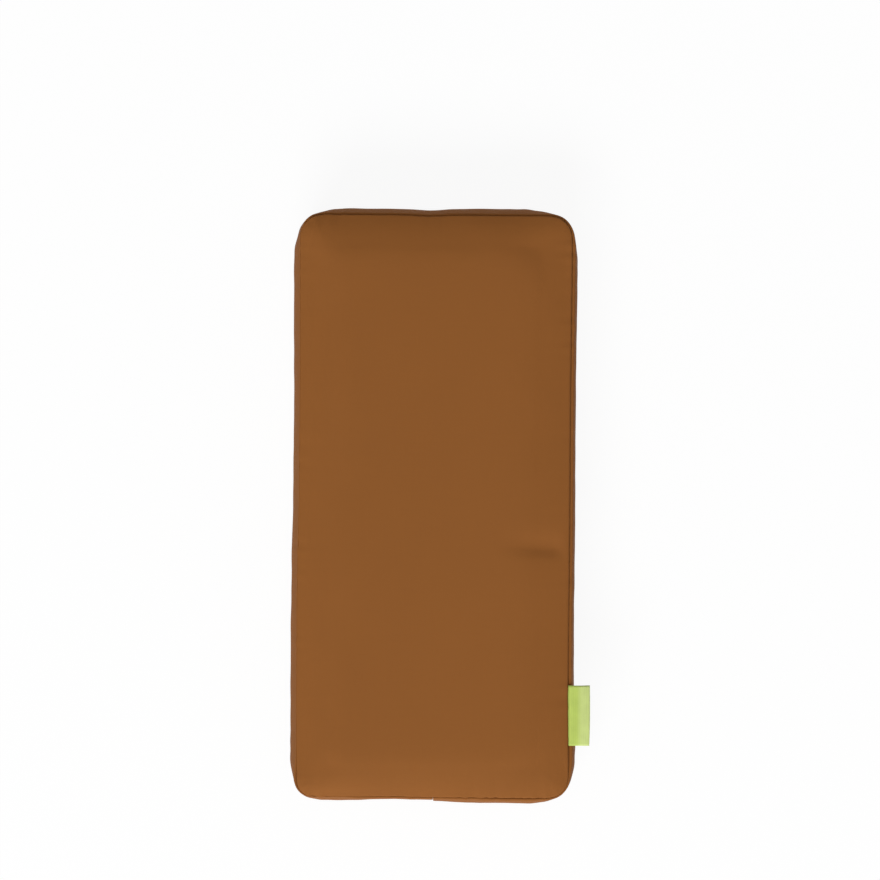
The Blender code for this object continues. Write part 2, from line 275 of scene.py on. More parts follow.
def outline(inset, square=0.0):
    """Stations round the seam line, anticlockwise from the middle of the near left corner,
    and the way out at each. They crowd towards the corners.

    inset moves them inwards, and square turns the rounded corners into right angles.
    """
    half_x = HALF_WIDTH - inset
    half_y = HALF_LENGTH - inset
    stations, outwards = [], []
    for k, cells in enumerate((END_CELLS, SIDE_CELLS, END_CELLS, SIDE_CELLS)):
        way, out = [], []
        for corner, start in ((k, 225), ((k + 1) % 4, 270)):
            radius = max(CORNER_RADII[corner] - inset, LEAST_RADIUS)
            turn = np.radians(np.linspace(start, start + 45, CORNER_STEPS) + 90 * k)
            middle = np.array((half_x - radius, half_y - radius)) * CORNERS[corner]
            out.append(np.stack((np.cos(turn), np.sin(turn)), 1))
            way.append(middle + radius * out[-1])
        way, out = np.concatenate(way), np.concatenate(out)
        gone = lengths_along(way)
        fine = np.linspace(0, gone[-1], SIDE_SAMPLES)
        crowd = 1 + CORNER_CROWDING * (bell(fine, CORNER_REACH)
                                       + bell(fine - gone[-1], CORNER_REACH))
        passed = np.concatenate(((0,), np.cumsum((crowd[1:] + crowd[:-1]) / 2)))
        stops = np.interp(np.linspace(0, passed[-1], cells + 1)[:-1], passed, fine)
        first = np.array((half_x, half_y)) * CORNERS[k]
        last = np.array((half_x, half_y)) * CORNERS[(k + 1) % 4]
        sharp = first + (last - first) * (stops / gone[-1])[:, None]
        stations.append(read_at(stops, gone, way) * (1 - square) + sharp * square)
        outwards.append(read_at(stops, gone, out))
    outwards = np.concatenate(outwards)
    return np.concatenate(stations), outwards / np.linalg.norm(outwards, axis=1)[:, None]


STATIONS = 2 * (END_CELLS + SIDE_CELLS)
seam_line, outward = outline(0.0)


def eased(low, high, value):
    """0 up to low and 1 from high on, with a soft climb between them."""
    share = np.clip((value - low) / (high - low), 0, 1)
    return share * share * (3 - 2 * share)


# How open the valley of the top seam is, from 0 where its two folds press together to 1.
# x and y are metres from the cushion's middle, to the right and to the far end.
NEAR_SEAM = -0.150
RIGHT_SEAM = 0.066
x, y = seam_line.T
near_seam = y < NEAR_SEAM
seam_open = 0.10 + 0.60 * eased(0.060, 0.072, x) + 0.40 * eased(0.148, 0.154, y)
seam_open += near_seam * (0.35 * eased(0.004, 0.012, x) + 0.40 * eased(0.026, 0.034, x))
seam_open += near_seam * 0.45 * bell(x + 0.021, 0.013)
seam_open += 0.25 * (x > RIGHT_SEAM) * eased(-0.118, -0.128, y)
seam_open += 0.35 * bell(np.hypot(x + 0.0715, y + 0.1465), 0.0055)
seam_open = np.clip(seam_open, 0, 1)
seam_open *= 1 - 0.7 * eased(0.020, 0.010, np.hypot(HALF_WIDTH - x, HALF_LENGTH + y))

# The folds are rounder where it is open and along the right side, and are pressed flat on
# the left side and at the left of the near end.
ROUNDER = 0.0004
FLATTER = 0.00024
pressed = eased(-0.0690, -0.0715, x) * eased(-0.138, -0.131, y)
pressed += near_seam * eased(-0.038, -0.048, x) * eased(-0.0685, -0.0630, x)
fold_radius = FOLD_RADIUS + FOLD_OPENING * seam_open
fold_radius += ROUNDER * eased(0.070, 0.0715, x) * eased(0.145, 0.135, abs(y))
fold_radius -= FLATTER * pressed

# How far its plies stand apart. Round the label, which is two plies thick, they do so down
# to their raw edges. Elsewhere the folds gape near both near corners, over closed stitches.
LABEL_MIDDLE = -0.1108
LABEL_ROOM = 0.0003
label_room = LABEL_ROOM * (x > 0.06) * eased(0.021, 0.016, abs(y - LABEL_MIDDLE))
seam_gape = label_room - 0.00008 * pressed
seam_gape += 0.00016 * near_seam * eased(0.022, 0.034, x) * eased(0.0685, 0.062, x)
seam_gape += 0.00012 * (x > RIGHT_SEAM) * eased(-0.125, -0.131, y) * eased(-0.1475, -0.144, y)
seam_gape += 0.00048 * bell(np.hypot(x + 0.0715, y + 0.1450), 0.0045)


def seam_fold(seam_height, into_sign, ply_sign, facing, radii, spread, room):
    """A turned-in edge at every station, from its raw edge round its fold: the insets and
    the heights, row by row.

    facing is the way its last row looks, inwards and up. spread moves the fold off the
    seam's own plane, and room the allowance under it.
    """
    into = np.array((1.0, into_sign)) / math.sqrt(2)
    side = np.array((1.0, -into_sign)) / math.sqrt(2) * ply_sign
    first = math.atan2(-side[1], -side[0])
    last = math.atan2(facing[1], facing[0])
    sweep = (last - first + math.pi) % (2 * math.pi) - math.pi
    start = np.array((0.0, seam_height)) + side * (PLY_GAP / 2 + spread[:, None])
    sewn = np.array((0.0, seam_height)) + side * (SEWN_GAP / 2 + room[:, None])
    rows = [sewn + into * SEAM_ALLOWANCE * share for share in ALLOWANCE_SHARES]
    for share in FOLD_SHARES:
        angle = first + sweep * share
        arm = side + np.array((math.cos(angle), math.sin(angle)))
        rows.append(start + arm * radii[:, None])
    rows = np.stack(rows)
    return rows[..., 0], rows[..., 1]


def placed(insets, heights):
    """Points at each station's own inset and height."""
    return np.concatenate((seam_line - outward * insets[:, None], heights[:, None]), 1)


def at_height(places, height):
    """Places in the plan as points at one height."""
    return np.concatenate((places, np.full((len(places), 1), height)), 1)


def four_sides(ring):
    """The near, right, far and left side of a ring of stations, each with both its corners
    and running to the right or to the far end."""
    ring = np.concatenate((ring, ring[:1]))
    near, right, far, left = np.cumsum((0, END_CELLS, SIDE_CELLS, END_CELLS))
    return (ring[near:right + 1], ring[right:far + 1],
            ring[far:left + 1][::-1], ring[left:][::-1])


def filled(ring):
    """The points inside a ring of stations, in even rows between its four sides."""
    near, right, far, left = four_sides(ring)
    u = np.linspace(0, 1, END_CELLS + 1)[None, :, None]
    v = np.linspace(0, 1, SIDE_CELLS + 1)[:, None, None]
    grid = near * (1 - v) + far * v + left[:, None] * (1 - u) + right[:, None] * u
    grid = grid - (near[0] * (1 - u) * (1 - v) + near[-1] * u * (1 - v)
                   + far[0] * (1 - u) * v + far[-1] * u * v)
    return grid[1:-1, 1:-1].reshape(-1, 3)


def ring_faces(count):
    """Quads between rings of stations, facing out where the rings climb."""
    rows = np.arange(count - 1)[:, None] * STATIONS
    here = np.arange(STATIONS)[None]
    after = (here + 1) % STATIONS
    quads = (rows + here, rows + after, rows + STATIONS + after, rows + STATIONS + here)
    return np.stack(quads, 2).reshape(-1, 4)


def grid_faces(names):
    """Quads between rows and columns of points, given by their numbers."""
    quads = (names[:-1, :-1], names[:-1, 1:], names[1:, 1:], names[1:, :-1])
    return np.stack(quads, 2).reshape(-1, 4)


def filling_faces(ring_row, first_inside):
    """Quads of the filling of a ring, facing up."""
    names = np.zeros((SIDE_CELLS + 1, END_CELLS + 1), int)
    sides = four_sides(ring_row * STATIONS + np.arange(STATIONS))
    names[0], names[:, -1], names[-1], names[:, 0] = sides
    inner = names[1:-1, 1:-1]
    inner[:] = first_inside + np.arange(inner.size).reshape(inner.shape)
    return grid_faces(names)


def evened(values, faces, fixed, times):
    """Values on a mesh's points, each moved towards its neighbours' mean, times over."""
    pairs = np.concatenate([faces[:, [k, (k + 1) % 4]] for k in range(4)])
    pairs = np.unique(np.sort(pairs, axis=1), axis=0)
    degree = np.bincount(pairs.ravel(), minlength=len(values))[:, None]
    values = values.copy()
    for _ in range(times):
        total = np.zeros_like(values)
        np.add.at(total, pairs[:, 0], values[pairs[:, 1]])
        np.add.at(total, pairs[:, 1], values[pairs[:, 0]])
        values[~fixed] = (total / degree)[~fixed]
    return values


def make_piece(name, points, faces, material, places=None):
    """A smooth-shaded mesh. places, where each point lies in the flat cloth, is for the weave."""
    mesh = bpy.data.meshes.new(name)
    mesh.from_pydata(points.tolist(), [], faces.tolist() if hasattr(faces, "tolist") else faces)
    mesh.shade_smooth()
    if places is not None:
        threads = mesh.attributes.new("cloth_place", "FLOAT_VECTOR", "POINT")
        threads.data.foreach_set("vector", np.asarray(places, np.float32).ravel())
    mesh.materials.append(material)
    piece = bpy.data.objects.new(name, mesh)
    scene.collection.objects.link(piece)
    return piece


def vectors(rows, name):
    """One vector of each row of a mesh's data."""
    flat = np.zeros(len(rows) * 3, np.float32)
    rows.foreach_get(name, flat)
    return flat.reshape(-1, 3).astype(float)


def put_points(piece, points):
    piece.data.vertices.foreach_set("co", points.astype(np.float32).ravel())
    piece.data.update()


def finer(piece, levels):
    """Replaces a piece's mesh by a subdivision surface of it. Returns its points, the ways
    they face and where they lie in the flat cloth."""
    smooth = piece.modifiers.new("finer", "SUBSURF")
    smooth.levels = smooth.render_levels = levels
    bpy.context.view_layer.update()
    fine = bpy.data.meshes.new_from_object(
        piece.evaluated_get(bpy.context.evaluated_depsgraph_get()))
    piece.modifiers.clear()
    piece.data = fine
    return (vectors(fine.vertices, "co"), vectors(fine.vertex_normals, "vector"),
            vectors(fine.attributes["cloth_place"].data, "vector"))


def thicken(piece, thickness):
    """Gives a sheet its thickness, inwards from the side that shows."""
    ply = piece.modifiers.new("ply", "SOLIDIFY")
    ply.thickness = thickness
    ply.offset = -1.0


FOAM_PRESSURE = 4.0
SWELL_FRAMES = 20


def swell(points, faces, held, cap, slack):
    """Cloth held at its seams and pushed out by the foam. Returns how far each point moves,
    which is never more than cap."""
    trial = make_piece("swelling", points, faces, cloth_finish)
    group = trial.vertex_groups.new(name="held")
    group.add([int(k) for k in np.flatnonzero(held)], 1.0, "REPLACE")
    cloth = trial.modifiers.new("swell", "CLOTH")
    rules = cloth.settings
    rules.quality = 6
    rules.mass = 0.3
    rules.tension_stiffness = rules.compression_stiffness = 20.0
    rules.shear_stiffness = 8.0
    rules.bending_stiffness = 0.6
    rules.shrink_min = -slack
    rules.use_pressure = True
    rules.uniform_pressure_force = FOAM_PRESSURE
    rules.vertex_group_mass = "held"
    rules.effector_weights.gravity = 0.0
    cloth.collision_settings.use_collision = False
    cloth.point_cache.frame_start = 1
    cloth.point_cache.frame_end = SWELL_FRAMES
    for k in range(1, SWELL_FRAMES + 1):
        scene.frame_set(k)
    shown = trial.evaluated_get(bpy.context.evaluated_depsgraph_get())
    moved = vectors(shown.data.vertices, "co") - points
    scene.frame_set(1)
    bpy.data.objects.remove(trial, do_unlink=True)
    far = np.linalg.norm(moved, axis=1)[:, None]
    return moved * np.tanh(far / cap) * cap / np.maximum(far, 1e-9)


CURVE_REACH = 0.012
CURVE_SHIFTS = np.linspace(-CURVE_REACH, CURVE_REACH, 9)


def rounded_curve(knots, values):
    """A soft curve through values at knots."""
    def curve(at):
        around = sum(np.interp(at + shift, knots, values) for shift in CURVE_SHIFTS)
        return around / len(CURVE_SHIFTS)
    return curve


# How far the sewn sides stand out from the plan, in metres, from the near end to the far
# end. The hand that guides the cloth under the needle is true to about a millimetre.
right_side = rounded_curve((-0.150, -0.125, -0.105, -0.081, -0.023, 0.061, 0.150),
                           (0.0001, 0.0, -0.0004, -0.0006, -0.0004, -0.0005, 0.0))
left_side = rounded_curve((-0.150, -0.133, -0.094, -0.056, -0.029, 0.003, 0.061, 0.150),
                          (0.0, -0.0002, 0.0, 0.0002, 0.0, -0.0006, -0.0006, 0.0))

# The far end as a whole is drawn in a little, and both end seams dip in near their middles.
FAR_DRAW = 0.0007
FAR_DIP = 0.0006
NEAR_DIP = 0.0005


def as_sewn(points):
    """Moves points of the plan to where the sewn cushion has them."""
    x, y, z = points.T
    side = np.where(x > 0, right_side(y), -left_side(y))
    share = np.clip(np.abs(x) / HALF_WIDTH, 0, 1) ** 3
    far = np.clip(y / HALF_LENGTH, 0, 1)
    near = np.clip(-y / HALF_LENGTH, 0, 1)
    draw = FAR_DRAW * far ** 3 + FAR_DIP * bell(x + 0.004, 0.009) * far ** 12
    draw -= NEAR_DIP * bell(x + 0.021, 0.014) * near ** 12
    return np.stack((x + side * share, y - draw, z), 1)


# Puckers: the stitching draws the cloth up into small ripples, square to the seam. They
# come and go along it, and are strongest at the right of the near end.
SEAM_SAMPLES = 1800
RIPPLE_COUNTS = (71, 83, 97, 109, 127, 148)
BUNCH_COUNTS = (5, 9, 14, 19)
RIPPLE_HEIGHT = 0.00008
GATHERED_HEIGHT = 0.00018
TOP_SEED = 11
BOTTOM_SEED = 23
WAVE_POWER = 0.28

closed = np.concatenate((seam_line, seam_line[:1]))
gone = lengths_along(closed)
seam_dense = read_at(np.linspace(0, gone[-1], SEAM_SAMPLES, endpoint=False), gone, closed)
seam_finder = kdtree.KDTree(len(seam_dense))
for k, (x, y) in enumerate(seam_dense):
    seam_finder.insert((x, y, 0.0), k)
seam_finder.balance()


def along_seam(points):
    """How far round the seam line the nearest place on it is, as a share of the whole."""
    found = [seam_finder.find((x, y, 0.0))[1] for x, y in points[:, :2]]
    return np.array(found) / len(seam_dense)


def waves(share, counts, seed):
    """A smooth random curve round the seam, from whole numbers of waves. WAVE_POWER is about
    the mean square of one, so that it stands as high for any number of them."""
    draw = np.random.default_rng(seed)
    total = np.zeros_like(share)
    for count in counts:
        total += draw.uniform(0.5, 1.0) * np.sin(
            2 * np.pi * (count * share + draw.uniform()))
    return total / math.sqrt(len(counts) * WAVE_POWER)


def puckers(share, x, y, seed, off_seam, reach):
    """Height of the ripples beside a seam, in metres. They die away over reach."""
    ripple = waves(share, RIPPLE_COUNTS, seed)
    bunch = np.clip(0.45 + 0.55 * waves(share, BUNCH_COUNTS, seed + 1), 0.1, 1.6)
    gathered = eased(0.002, 0.018, x) * eased(0.074, 0.062, x) * (y < -0.12)
    height = RIPPLE_HEIGHT + GATHERED_HEIGHT * gathered
    return ripple * bunch * height * np.exp(-np.abs(off_seam) / reach)


SEAM_STITCH = 0.0046
FIRST_STITCH = 0.0093
SLACK_DEPTH = 0.00045
SLACK_EASED = 0.00020
SLACK_REACH = 0.0011


def slack_between_stitches(x, y, from_valley):
    """How far the folds draw back between stitches, where the near seam gapes."""
    loose = (y < NEAR_SEAM) * eased(0.010, 0.014, x) * eased(0.0670, 0.058, x)
    loose = loose * (1 - 0.8 * eased(0.018, 0.020, x) * eased(0.0275, 0.0255, x))
    open_spots = np.clip(np.sin(2 * np.pi * (x - FIRST_STITCH) / SEAM_STITCH), 0, 1)
    depth = SLACK_DEPTH - SLACK_EASED * eased(0.026, 0.034, x)
    return depth * loose * open_spots * bell(from_valley, SLACK_REACH)


# The weave: yarns cross over and under, some a little thicker or darker than others, under
# a thin coat that leaves a low, even sheen. CLOUDS is the number of pale patches in a metre.
BROWN = (0.263, 0.0958, 0.0218)
YARN = 0.00046
SLUB_LENGTH = 1 / 40
CLOUDS = 22.0
YARN_RELIEF = 0.000035
SLUB_RELIEF = 0.00003


def cloth_place(wire):
    """Where a point lies in the flat cloth, and how far across it alone."""
    place = wire.node("Attribute", {"attribute_name": "cloth_place"}, {}, "Vector")
    return place, wire.node("SeparateXYZ", {}, {0: place}, "X")


cloth_finish, wire = new_finish("brown_cover_cloth")
place, across = cloth_place(wire)
warp_turn = across * (math.pi / YARN)
weft_turn = across.beside("Y") * (math.pi / YARN)
crossing = wire.maths("SINE", warp_turn) * wire.maths("SINE", weft_turn)
knuckles = abs(crossing) ** 0.6 + crossing * 0.3
slub_warp = place.scaled((1 / YARN / 2, 1 / SLUB_LENGTH, 0.0)).noise(1.0, 1.0)
slub_weft = place.scaled((1 / SLUB_LENGTH, 1 / YARN / 2, 0.0)).noise(1.0, 1.0)
slubs = (slub_warp + slub_weft) * 0.5
cloudy = place.noise(CLOUDS, 3.0)
tone = (cloudy - 0.5) * 0.10 + (slubs - 0.5) * 0.16 + (knuckles - 0.45) * 0.05 + 0.5
pale, deep = ((*(part * share for part in BROWN), 1.0) for share in (1.25, 0.75))
put_surface(tone.limited().between(deep, pale),
            roughness=(0.72 + (slubs - 0.5) * 0.2).limited(), specular=0.09,
            relief=knuckles * YARN_RELIEF + slubs * SLUB_RELIEF)


def folded_edge(insets, heights):
    """The rings of a panel's folded edge, and where they lie in the flat cloth."""
    steps = np.hypot(np.diff(insets, axis=0), np.diff(heights, axis=0))
    from_fold = -np.concatenate((np.cumsum(steps[::-1], 0)[::-1], np.zeros((1, STATIONS))))
    return ([placed(*row) for row in zip(insets, heights)],
            [placed(insets[-1] + length, length) for length in from_fold])


def panel_faces(ring_count):
    """The faces of a panel: its rings, and the filling of the last one."""
    return np.concatenate((ring_faces(ring_count),
                           filling_faces(ring_count - 1, ring_count * STATIONS)))


def to_sides(x, y):
    """How far places in the plan are from the nearest side."""
    return np.minimum(HALF_WIDTH - abs(x), HALF_LENGTH - abs(y))


# Rings of stations run from the raw edge round the fold and on over the edge to an even
# filling. places says where each point lies in the flat cloth and, third, how far it is from
# the fold's end, which is less than 0 in the fold.
insets, heights = seam_fold(TOP_SEAM, -1, 1, (-0.30, 0.954), fold_radius, seam_gape, label_room)
rings, places = folded_edge(insets, heights)
for inset in TOP_RINGS:
    ring = outline(inset, (inset / TOP_RINGS[-1]) ** RING_SQUARING)[0]
    rings.append(at_height(ring, 0.0))
    places.append(np.concatenate((ring, (inset - insets[-1])[:, None]), 1))
inside = filled(rings[-1])
points = np.concatenate(rings + [inside])
places = np.concatenate(places + [inside])
places[-len(inside):, 2] = to_sides(*inside[:, :2].T)
faces = panel_faces(len(rings))
folded = FOLD_ROWS * STATIONS


# How far in from each side the crown takes to rise, and how full it is there.
RIGHT_SHOULDER = (0.040, 3.2)
LEFT_SHOULDER = (0.020, 3.4)
NEAR_SHOULDER = (0.036, 3.4)
FAR_SHOULDER = (0.036, 3.2)
EDGE_SHOULDER = (0.030, 3.4)


def shoulder(distance, reach, fullness):
    """The crown's rise from an edge: 0 at it, 1 from reach inwards."""
    return 1 - (1 - np.clip(distance / reach, 0, 1)) ** fullness


def crown_height(x, y, to_seam):
    """The height of the cloth over the foam, which is crowned a little."""
    share = (shoulder(HALF_WIDTH - x, *RIGHT_SHOULDER)
             * shoulder(HALF_WIDTH + x, *LEFT_SHOULDER)
             * shoulder(HALF_LENGTH + y, *NEAR_SHOULDER)
             * shoulder(HALF_LENGTH - y, *FAR_SHOULDER))
    share = np.minimum(share, shoulder(to_seam, *EDGE_SHOULDER))
    return low_edge + (TOP_HEIGHT - low_edge) * share


# The crease runs across, nearer at its right end, and is steeper on its near side.
CREASE_PLACE = (0.055, -0.0216)
CREASE_SLOPE = -0.04
CREASE_DEPTH = 0.0010
CREASE_SAG = 0.0004


def crease_depth(x, y):
    """How deep the cloth sinks into a crease at the right, where the foam gives a little."""
    off_line = y - CREASE_PLACE[1] - CREASE_SLOPE * (x - CREASE_PLACE[0])
    reach = eased(0.030, 0.058, x) * eased(0.0720, 0.0630, x)
    return reach * (CREASE_DEPTH * bell(off_line, np.where(off_line < 0, 0.0037, 0.0062))
                    + CREASE_SAG * bell(off_line, 0.0100))


TOP_SWELL = 0.0007
TOP_SLACK = 0.004
TOP_PUSH_SMOOTHINGS = 3
PUCKER_REACH = 0.0055
PUCKER_END = 0.004
VALLEY_FROM_FOLD = 0.0014

low_edge = np.mean(heights[-1])
points[folded:, 2] = crown_height(*points[folded:, :2].T, places[folded:, 2])
fixed = np.arange(len(points)) < folded
points[:, 2:] = evened(points[:, 2:], faces, fixed, TOP_SMOOTHINGS)
body = points[folded - STATIONS:]
body_faces = faces[(FOLD_ROWS - 1) * STATIONS:] - (folded - STATIONS)
body_held = np.arange(len(body)) < STATIONS
push = swell(body, body_faces, body_held, TOP_SWELL, TOP_SLACK)
points[folded - STATIONS:] += evened(push, body_faces, body_held, TOP_PUSH_SMOOTHINGS)

top_panel = make_piece("top_cover_panel", points, faces, cloth_finish, places)
points, facing, places = finer(top_panel, 2)
share = along_seam(points)
x, y = points[:, :2].T
from_fold = places[:, 2]
ripple = puckers(share, x, y, TOP_SEED, from_fold, PUCKER_REACH)
ripple *= np.clip(1 + from_fold / PUCKER_END, 0, 1)
ripple -= slack_between_stitches(x, y, from_fold + VALLEY_FROM_FOLD)
points += facing * (ripple - crease_depth(x, y))[:, None]
put_points(top_panel, as_sewn(points))
thicken(top_panel, CLOTH_THICKNESS)
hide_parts("top_panel")
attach(top_panel, "root")


# The side band: one strip of the same cloth round all four sides, sewn to both panels.
# Its two ends meet in a short upright seam at the middle of the near end.
BOTTOM_SEAM = 0.0055
BOTTOM_FOLD_RADIUS = 0.0010
BAND_FULLNESS = 2.4
BAND_ROWS = 7
SIDE_BULGES = (0.0038, 0.0042)
FAR_BULGES = (0.0049, 0.0046)
NEAR_BULGES = (0.0036, 0.0030)
BAND_SWELL = 0.0006
BAND_SLACK = 0.001
JOIN_RADIUS = 0.00035
JOIN_GAP = 0.00008
JOIN_STATION = END_CELLS // 2
JOIN_SHIFT = 0.0008

# How far the band stands out between its seams, from the join round to the join again. The
# first of each pair is for the right half. The near end's left half is slack.
order = (np.arange(STATIONS + 1) + JOIN_STATION) % STATIONS
x, y = seam_line[order].T
near_end = eased(0.135, 0.150, -y)
far_end = eased(0.135, 0.150, y)
right = x > 0
right[0], right[-1] = True, False
bulge = np.where(right, *SIDE_BULGES) * (1 - near_end - far_end)
bulge += far_end * np.where(right, *FAR_BULGES)
near_right = NEAR_BULGES[0] + 0.0011 * eased(0.0, 0.025, x) - 0.0004 * bell(x - 0.034, 0.014)
near_left = NEAR_BULGES[1] + 0.0006 * bell(x + 0.050, 0.020)
bulge += near_end * np.where(right, near_right, near_left)
bulge += 0.0006 * right * bell(y + 0.131, 0.018)

# It is tight round the corners, less so at the left of the near end.
from_corner = np.hypot(HALF_WIDTH - abs(x), HALF_LENGTH - abs(y))
tight_within = np.where(x > 0, np.where(y > 0, 0.023, 0.019), np.where(y > 0, 0.021, 0.015))
tightness = 0.58 - 0.33 * (x < 0) * eased(0.75, 0.98, -outward[order, 1])
bulge *= 1 - tightness * eased(1, 0.3, from_corner / tight_within)
low_radius = np.full(STATIONS, BOTTOM_FOLD_RADIUS)
no_room = np.zeros(STATIONS)
low_fold = seam_fold(BOTTOM_SEAM, 1, -1, (-0.96, -0.28), low_radius, no_room, no_room)
high_fold = seam_fold(TOP_SEAM, -1, -1, (-0.96, 0.28), fold_radius, seam_gape, label_room)
low_fold, high_fold = ([part[:, order] for part in fold] for fold in (low_fold, high_fold))
low_end, high_end = ([part[-1] for part in fold] for fold in (low_fold, high_fold))
insets, heights = list(low_fold[0]), list(low_fold[1])
for k in range(1, BAND_ROWS):
    share = k / BAND_ROWS
    inset = low_end[0] * (1 - share) + high_end[0] * share
    inset = inset - (bulge + inset) * (1 - abs(2 * share - 1) ** BAND_FULLNESS)
    insets.append(inset)
    heights.append(low_end[1] * (1 - share) + high_end[1] * share)
insets = np.stack(insets + list(high_fold[0][::-1]))
heights = np.stack(heights + list(high_fold[1][::-1]))
grid = np.concatenate((seam_line[order] - outward[order] * insets[..., None],
                       heights[..., None]), 2)
around_flat = lengths_along(seam_line[order])
steps = np.hypot(np.diff(insets, axis=0), np.diff(heights, axis=0)).mean(1)
up_flat = np.concatenate(((0,), np.cumsum(steps)))
flat_grid = np.stack(np.broadcast_arrays(
    around_flat[None, :], up_flat[:, None], np.zeros((1, 1))), 2)


def with_turned_end(grid, flat_grid, end, sign):
    """Adds columns that turn one end of the band in at the join."""
    edge = grid[:, end] + np.array((JOIN_SHIFT + sign * (JOIN_RADIUS + JOIN_GAP / 2), 0, 0))
    grid[:, end] = edge
    columns, flats = [], []
    for turn in np.radians((30, 60, 90)):
        shift = (-sign * JOIN_RADIUS * math.sin(turn), JOIN_RADIUS * (1 - math.cos(turn)), 0)
        columns.append(edge + np.array(shift))
        flats.append(flat_grid[:, end] - np.array((sign * JOIN_RADIUS * turn, 0, 0)))
    columns.append(columns[-1] + np.array((0, SEAM_ALLOWANCE, 0)))
    flats.append(flats[-1] - np.array((sign * SEAM_ALLOWANCE, 0, 0)))
    columns, flats = np.stack(columns, 1), np.stack(flats, 1)
    if end == 0:
        return (np.concatenate((columns[:, ::-1], grid), 1),
                np.concatenate((flats[:, ::-1], flat_grid), 1))
    return np.concatenate((grid, columns), 1), np.concatenate((flat_grid, flats), 1)


def sheet_faces(rows, columns):
    """Quads of a sheet whose points come row by row."""
    return grid_faces(np.arange(rows * columns).reshape(rows, columns))


body = grid[FOLD_ROWS - 1:1 - FOLD_ROWS]
body_faces = sheet_faces(*body.shape[:2])
held = np.zeros(body.shape[:2], bool)
held[0] = held[-1] = held[:, 0] = held[:, -1] = True
push = swell(body.reshape(-1, 3), body_faces, held.ravel(), BAND_SWELL, BAND_SLACK)
push = evened(push, body_faces, held.ravel(), 1)
body += push.reshape(body.shape)
grid, flat_grid = with_turned_end(grid, flat_grid, 0, 1)
grid, flat_grid = with_turned_end(grid, flat_grid, -1, -1)
side_band = make_piece("side_cover_band", grid.reshape(-1, 3),
                       sheet_faces(*grid.shape[:2]), cloth_finish, flat_grid.reshape(-1, 3))
points, facing = finer(side_band, 2)[:2]

# Its puckers run from both seams, except at the join, and faint waves stand between them,
# upright ones round the corners and leaning ones all round.
BAND_PUCKER_REACH = 0.006
BOTTOM_PUCKERS = 0.5
CORNER_MIDDLE = 0.012
UPRIGHT_WAVES = 0.00008
LEANING_WAVES = 0.00005
share = along_seam(points)
x, y, z = points.T
to_top, to_bottom = TOP_SEAM - z, z - BOTTOM_SEAM
middle = np.clip(to_bottom / (TOP_SEAM - BOTTOM_SEAM), 0, 1)
outside = np.clip((0.002 - to_sides(x, y)) / 0.003, 0, 1)
outside = outside * np.maximum(eased(0.0014, 0.006, abs(x - JOIN_SHIFT)), y > 0)
ripple = puckers(share, x, y, TOP_SEED, to_top, BAND_PUCKER_REACH)
ripple += BOTTOM_PUCKERS * puckers(share, x, y, BOTTOM_SEED, to_bottom, BAND_PUCKER_REACH)
ripple -= slack_between_stitches(x, y, to_top)
corner_x = (HALF_WIDTH - CORNER_MIDDLE) * np.sign(x)
corner_y = (HALF_LENGTH - CORNER_MIDDLE) * np.sign(y)
near_corner = bell(np.hypot(x - corner_x, y - corner_y) - 0.014, 0.012)
upright = waves(share, (61, 74, 88, 103), 31) * near_corner * np.sin(np.pi * middle)
leaning = waves(share + 0.02 * (middle - 0.5), (23, 37, 52), 37) * np.sin(np.pi * middle)
ripple += UPRIGHT_WAVES * upright + LEANING_WAVES * leaning
points += facing * (ripple * outside)[:, None]
put_points(side_band, as_sewn(points))
thicken(side_band, CLOTH_THICKNESS)
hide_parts("side_band")
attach(side_band, "root")


# The bottom panel: the same cloth, flat where it lies on the rack, with a short roll up
# to its seam. The two straps press it in a little.
UNDERSIDE_ROLL = 0.0115
UNDERSIDE_FULLNESS = 2.4
BOTTOM_RINGS = (0.0034, 0.0060, 0.0088, 0.0118, 0.0160)
STRAP_CENTRES = (-0.080, 0.080)
STRAP_HALF_LENGTH = 0.05305
STRAP_HALF_WIDTH = 0.0125
RECESS_DEPTH = 0.00115
RECESS_SLOPE = 0.0018
WELL_INSIDE = 0.02
UNDER_PUCKER_REACH = 0.005
UNDER_WAVES = 0.00012
STRAP_PULL = 0.00012

insets, heights = seam_fold(BOTTOM_SEAM, 1, 1, (-0.30, -0.954), low_radius, no_room, no_room)
rings, places = folded_edge(insets, heights)
edge_inset, edge_height = insets[-1, 0], heights[-1, 0]
for inset in BOTTOM_RINGS:
    square = (inset / BOTTOM_RINGS[-1]) ** RING_SQUARING
    left = 1 - min(1.0, (inset - edge_inset) / (UNDERSIDE_ROLL - edge_inset))
    ring = at_height(outline(inset, square)[0], edge_height * left ** UNDERSIDE_FULLNESS)
    rings.append(ring)
    places.append(at_height(ring[:, :2], inset - edge_inset))
inside = filled(rings[-1])
points = np.concatenate(rings + [inside])
places = np.concatenate(places + [at_height(inside[:, :2], WELL_INSIDE)])
faces = panel_faces(len(rings))[:, ::-1]
bottom_panel = make_piece("bottom_cover_panel", points, faces, cloth_finish, places)
points, facing, places = finer(bottom_panel, 2)
share = along_seam(points)
x, y = points[:, :2].T
from_fold = places[:, 2]
ripple = BOTTOM_PUCKERS * puckers(share, x, y, BOTTOM_SEED, from_fold, UNDER_PUCKER_REACH)
ripple *= np.clip(1 + from_fold / PUCKER_END, 0, 1)
points += facing * ripple[:, None]
inner = np.clip((from_fold - 0.006) / 0.008, 0, 1)
rise = inner * UNDER_WAVES * (1 + waves(y / 0.31 + 0.13 * x / 0.15, (3, 5, 8), 41)
                              * waves(x / 0.15 + 0.2 * y / 0.31, (2, 3), 43))
